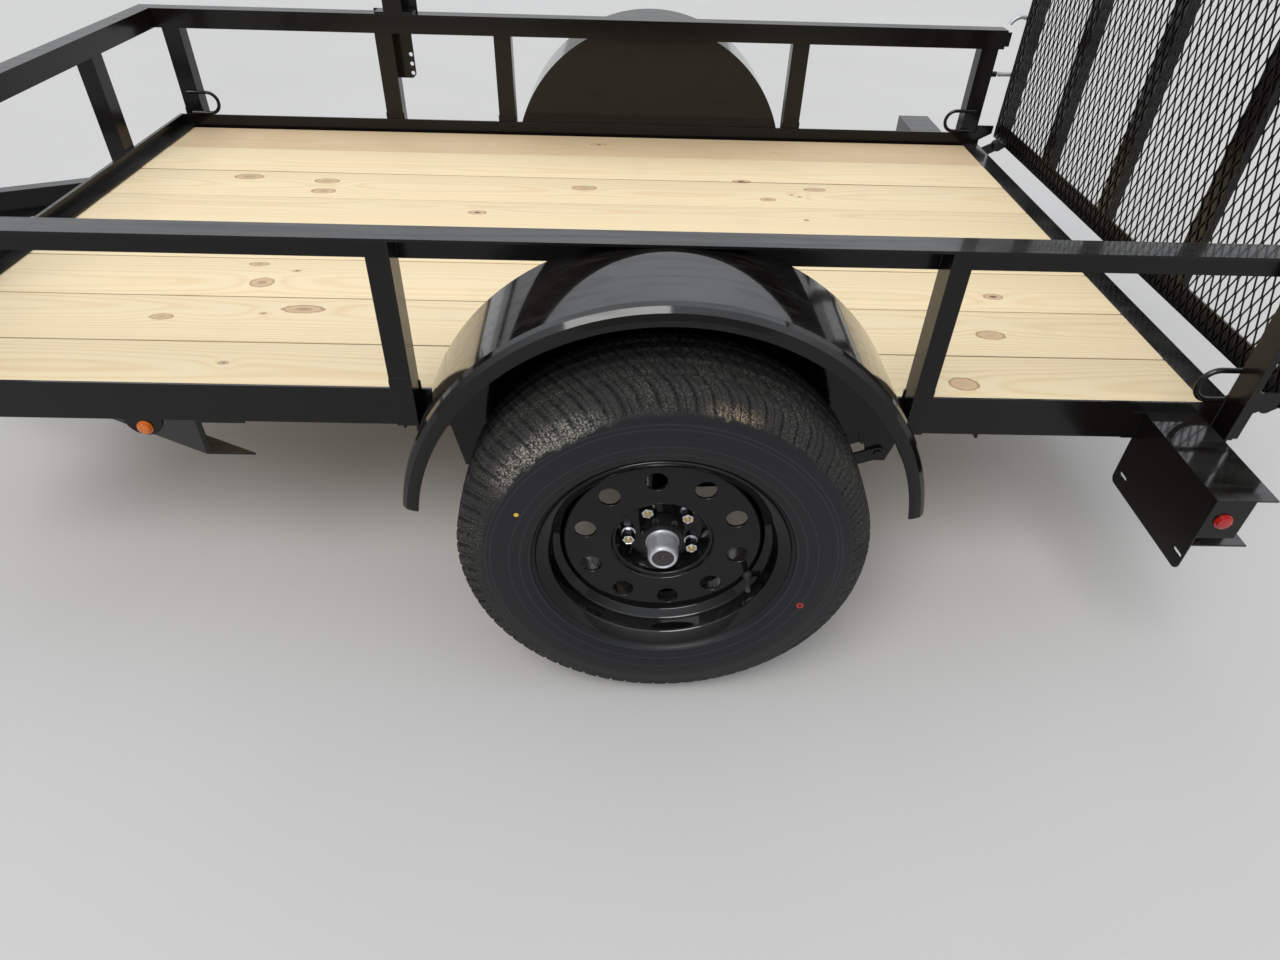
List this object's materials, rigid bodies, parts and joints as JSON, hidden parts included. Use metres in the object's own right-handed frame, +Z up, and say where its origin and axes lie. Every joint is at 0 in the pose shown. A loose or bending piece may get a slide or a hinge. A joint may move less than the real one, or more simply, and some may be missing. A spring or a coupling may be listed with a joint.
{
  "type": "single-axle utility trailer",
  "caption": "Open single-axle utility trailer with a pine deck, black angle-steel sides, round fenders, a tongue jack and an upright mesh ramp gate.",
  "frame": {"origin": "on the ground under the middle of the whole trailer, midway between the nose of the coupler and the back of the gate", "axes": "+X to the rear along the trailer, +Y to its right-hand side, +Z up"},
  "size_m": [3.751, 2.08, 1.7],
  "materials": {
    "body_paint": "gloss black paint over rolled steel",
    "deck_wood": "pale planed pine with knots",
    "tyre_rubber": "black rubber, dusty at the shoulder",
    "wheel_paint": "gloss black wheel paint",
    "zinc": "bright zinc plate",
    "chrome_nut": "chrome-plated nuts on brass-toned studs",
    "grip_plastic": "black plastic grip on a plated crank",
    "red_lens": "clear red lens",
    "amber_lens": "clear amber lens"
  },
  "bodies": {
    "chassis": {"axle": "body_paint", "board_retainer": "body_paint", "coupler": "body_paint", "crossmembers": "body_paint", "deck_boards": "deck_wood", "front_frame_rail": "body_paint", "front_posts": "body_paint", "front_side_markers": "amber_lens", "front_top_rail": "body_paint", "hinge_lugs": "body_paint", "jack_crank": "grip_plastic", "jack_mount": "body_paint", "jack_tube": "zinc", "latch_pegs": "body_paint", "left_fender": "body_paint", "left_frame_rail": "body_paint", "left_lamp_box": "body_paint", "left_leaf_spring": "body_paint", "left_posts": "body_paint", "left_spring_clamp": "zinc", "left_spring_shackle": "body_paint", "left_tongue_leg": "body_paint", "left_top_rail": "body_paint", "marker_brackets": "body_paint", "rear_frame_rail": "body_paint", "rear_side_markers": "red_lens", "right_fender": "body_paint", "right_frame_rail": "body_paint", "right_lamp_box": "body_paint", "right_leaf_spring": "body_paint", "right_posts": "body_paint", "right_spring_clamp": "zinc", "right_spring_shackle": "body_paint", "right_tongue_leg": "body_paint", "right_top_rail": "body_paint", "spare_carrier": "body_paint", "spring_hangers": "body_paint", "tail_lamps": "red_lens", "tie_down_loops": "body_paint"},
    "wheel_left": {"left_tyre": "tyre_rubber", "left_rim": "wheel_paint", "left_hub": "body_paint", "left_dust_cap": "zinc", "left_lug_nuts": "chrome_nut"},
    "wheel_right": {"right_tyre": "tyre_rubber", "right_rim": "wheel_paint", "right_hub": "body_paint", "right_dust_cap": "zinc", "right_lug_nuts": "chrome_nut"},
    "ramp_gate": {"gate_frame": "body_paint", "gate_mesh": "body_paint", "gate_hinges": "body_paint", "gate_latches": "zinc"},
    "jack_leg": {"jack_leg": "zinc"}
  },
  "joints": [
    {"name": "left_wheel_spin", "type": "hinge", "parent": "chassis", "child": "wheel_left", "pos_m": [0.7245, -0.938, 0.338], "axis": [0, 1, 0], "continuous": true},
    {"name": "right_wheel_spin", "type": "hinge", "parent": "chassis", "child": "wheel_right", "pos_m": [0.7245, 0.938, 0.338], "axis": [0, 1, 0], "continuous": true},
    {"name": "gate_hinge", "type": "hinge", "parent": "chassis", "child": "ramp_gate", "pos_m": [1.8255, 0, 0.466], "axis": [0, 1, 0], "range_deg": [0, 108]},
    {"name": "jack_slide", "type": "slide", "parent": "chassis", "child": "jack_leg", "axis": [0, 0, 1], "range_m": [0, 0.254]}
  ]
}
